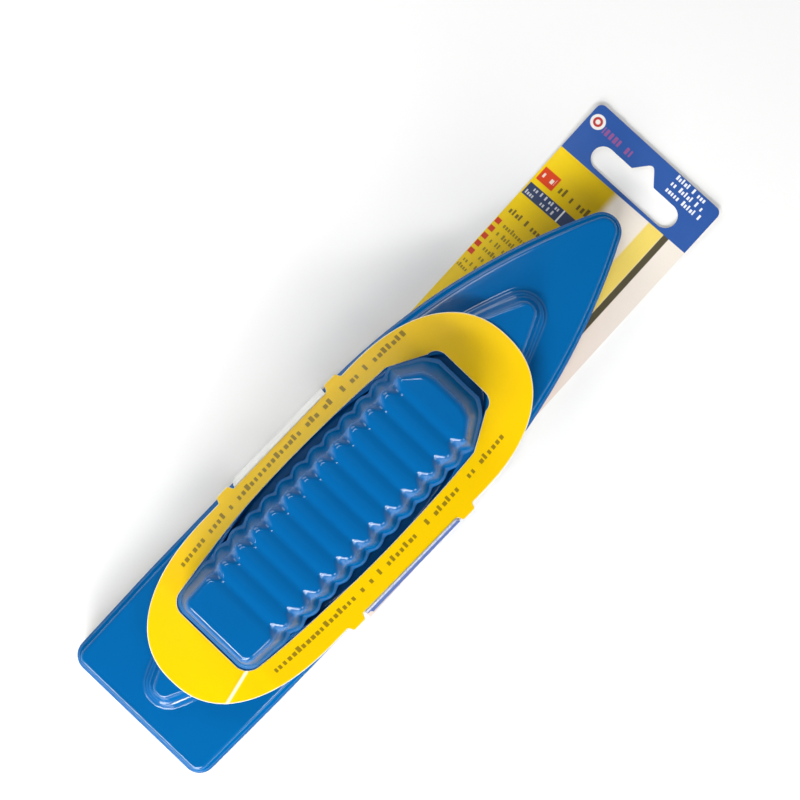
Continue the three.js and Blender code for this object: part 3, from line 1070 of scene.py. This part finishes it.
def back_card(materials):
    """The flat card, cut into narrow rows so that it can bow, with the hanging slot in its header."""
    half, corner, wing = CARD_HALF, 2.5, 33.8
    outline = [(half - 2, 60), (half, 62), (half, 81), (wing, 81), (wing, 132), (half, 132)]
    outline += arc(half - corner, CARD_END - corner, corner, 0, math.pi / 2, 10)
    slot_half, slot_low, slot_round = 19.45, 253.3, 4.45
    slot = arc(slot_half - slot_round, slot_low + slot_round, slot_round, -math.pi / 2, math.pi / 2, 20)
    slot += [(5.5, 262.2), (5.15, 262.35), (1.3, 266.9), (0.8, 267.35), (0.25, 267.6)]
    curve = bpy.data.curves.new("back_card_cut", "CURVE")
    curve.dimensions = "2D"
    curve.fill_mode = "BOTH"
    curve.extrude = CARD / 2
    for loop in (outline, slot):
        spline = curve.splines.new("POLY")
        full = loop + [(-x, y) for x, y in reversed(loop)]
        spline.points.add(len(full) - 1)
        for point, (x, y) in zip(spline.points, full):
            point.co = (x, y, CARD / 2, 1)
        spline.use_cyclic_u = True
    drawn = bpy.data.objects.new("back_card_cut", curve)
    bpy.context.collection.objects.link(drawn)
    mesh = bpy.data.meshes.new_from_object(drawn)
    bpy.data.objects.remove(drawn)
    return card_from(mesh, "header_back_card", materials)


def card_from(mesh, name, materials):
    """Cuts a flat card mesh into rows, sorts its faces into print, edge and back, and bows it."""
    bm = bmesh.new()
    bm.from_mesh(mesh)
    bmesh.ops.remove_doubles(bm, verts=bm.verts, dist=0.001)
    cuts = [((0, y, 0), (0, 1, 0)) for y in range(64, 273, 4)]
    cuts += [((x, 0, 0), (1, 0, 0)) for x in (-27, -20, -10, 0, 10, 20, 27)]
    for point, normal in cuts:
        everything = bm.verts[:] + bm.edges[:] + bm.faces[:]
        bmesh.ops.bisect_plane(bm, geom=everything, plane_co=point, plane_no=normal)
    bmesh.ops.recalc_face_normals(bm, faces=bm.faces[:])
    for face in bm.faces:
        face.material_index = 0 if face.normal.z > 0.5 else 2 if face.normal.z < -0.5 else 1
        face.smooth = True
    values = [(v.co.x, v.co.y, 0) for v in bm.verts]
    for v in bm.verts:
        x, y, z = v.co
        bow = 0.9 * smooth(238, 272, y) * (0.6 + 0.4 * (x / 29) ** 2)
        px, py = turned(x, y)
        v.co = (AXIS_X + px * MM, REAR_Y + py * MM, (z + bow) * MM)
    mesh.materials.clear()
    for material in materials:
        mesh.materials.append(material)
    bm.to_mesh(mesh)
    bm.free()
    mesh.name = name
    mesh.set_sharp_from_angle(angle=math.radians(30))
    obj = bpy.data.objects.new(name, mesh)
    bpy.context.collection.objects.link(obj)
    store(obj, "print_mm", values)
    return obj


# ---------------------------------------------------------------- stage, camera, lights


def stage():
    """A plain pale floor, a hair under the card so that the two don't share a plane."""
    mesh = bpy.data.meshes.new("floor")
    reach, drop = 8, -0.0002
    corners = [(-reach, -reach), (reach, -reach), (reach, reach), (-reach, reach)]
    mesh.from_pydata([(x, y, drop) for x, y in corners], [], [(0, 1, 2, 3)])
    n = Nodes("pale_floor")
    tone = n.mix(n.noise(n.place(), 6, 2), (0.9, 0.9, 0.9), (0.93, 0.93, 0.93))
    mesh.materials.append(n.finish(tone, 0.9))
    floor = bpy.data.objects.new("floor", mesh)
    bpy.context.collection.objects.link(floor)


def camera():
    """Looks straight down from 650 mm, turned so that the tool lies from lower left to upper right."""
    data = bpy.data.cameras.new("camera")
    data.sensor_width = 36
    data.lens = 81.9
    obj = bpy.data.objects.new("camera", data)
    obj.location = (AXIS_X - 10.2 * MM, REAR_Y + 145.1 * MM, 650 * MM)
    obj.rotation_euler = (0, 0, math.radians(43.82))
    bpy.context.collection.objects.link(obj)
    bpy.context.scene.camera = obj


def softbox(name, bearing, height, distance, size, power, colour=(1, 1, 1)):
    """A rectangular light that faces the tool: bearing from +X and height over the floor in degrees."""
    data = bpy.data.lights.new(name, "AREA")
    data.shape = "RECTANGLE"
    data.size, data.size_y = size
    data.energy = power
    data.color = colour
    obj = bpy.data.objects.new(name, data)
    turn, lift = math.radians(bearing), math.radians(height)
    place = Vector((math.cos(turn) * math.cos(lift), math.sin(turn) * math.cos(lift), math.sin(lift)))
    obj.location = place * distance
    obj.rotation_euler = (-place).to_track_quat("-Z", "Y").to_euler()
    obj.visible_camera = False
    bpy.context.collection.objects.link(obj)


def lights():
    """Two warm keys, three weak softboxes, and a world that is bright low down and dark overhead."""
    warm = (1, 0.99, 0.97)
    softbox("key", -72, 45, 1.15, (1.0, 0.12), 9.4, warm)
    softbox("low_key", -62, 25, 1.15, (0.5, 0.3), 7.0, warm)
    softbox("side", -8, 40, 1.15, (0.4, 0.22), 3.2)
    softbox("veil", 180, 82.5, 1.3, (0.5, 0.16), 1.8)
    softbox("fill", 168, 36, 1.3, (0.9, 0.6), 5.2)
    world = bpy.data.worlds.new("world")
    world.use_nodes = True
    tree = world.node_tree
    parts = tree.nodes.new("ShaderNodeSeparateXYZ")
    ramp = tree.nodes.new("ShaderNodeMapRange")
    tree.links.new(tree.nodes.new("ShaderNodeTexCoord").outputs["Generated"], parts.inputs[0])
    tree.links.new(parts.outputs["Z"], ramp.inputs[0])
    low, high, bright, dim = 0.12, 0.7, 0.65, 0.05
    for socket, number in zip(ramp.inputs[1:5], (low, high, bright, dim)):
        socket.default_value = number
    back = tree.nodes["Background"]
    back.inputs["Color"].default_value = (0.94, 0.97, 1, 1)
    tree.links.new(ramp.outputs[0], back.inputs["Strength"])
    bpy.context.scene.world = world
    bpy.context.scene.view_settings.view_transform = "Standard"


# ---------------------------------------------------------------- assembly

camera()
lights()
stage()

shell_blue = shell_plastic("blue_shell_plastic", 0.0)
grip_blue = shell_plastic("blue_grip_plastic", 0.07)
edge = cut_card("card_edge", linear(222, 218, 204), linear(250, 248, 240))
plain = cut_card("card_back", linear(214, 206, 190), linear(236, 230, 218))
cloth, cloth_area = nap(nap_fabric())
pieces = [
    (top_shell(shell_blue), "top_shell", ROOT, "shell_plastic"),
    (grip(grip_blue), "grip", ROOT, "shell_plastic"),
    (foam(foam_skin()), "foam_pad", ROOT, "foam"),
    (cloth, "nap_face", ROOT, "nap_fabric"),
    (back_card([back_print(), edge, plain]), "back_card", ROOT, "printed_back_card"),
    (front_ring([ring_print(), edge, plain]), "front_ring", "ring", "printed_ring_card"),
]
for piece, node, body, slot in pieces:
    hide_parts(node)
    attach(piece, body)

tufts = pile(pile_fibre())
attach(tufts, ROOT)

right = side_panel("side_panel_right_card", 1, RIGHT_KNOTS, [panel_print(), edge, plain])
left = side_panel("side_panel_left_card", -1, LEFT_KNOTS, [white_panel(), edge, plain])
for piece, node in ((right, "side_panel_right"), (left, "side_panel_left")):
    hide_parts(node)


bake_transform(right)
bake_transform(left)

finishes = {"base_board": carrier_board(), "adhesive_sheet": adhesive_film(), "glue_flap": plain}
for node, material in finishes.items():
    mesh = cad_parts[node].data
    mesh.materials.clear()
    mesh.materials.append(material)
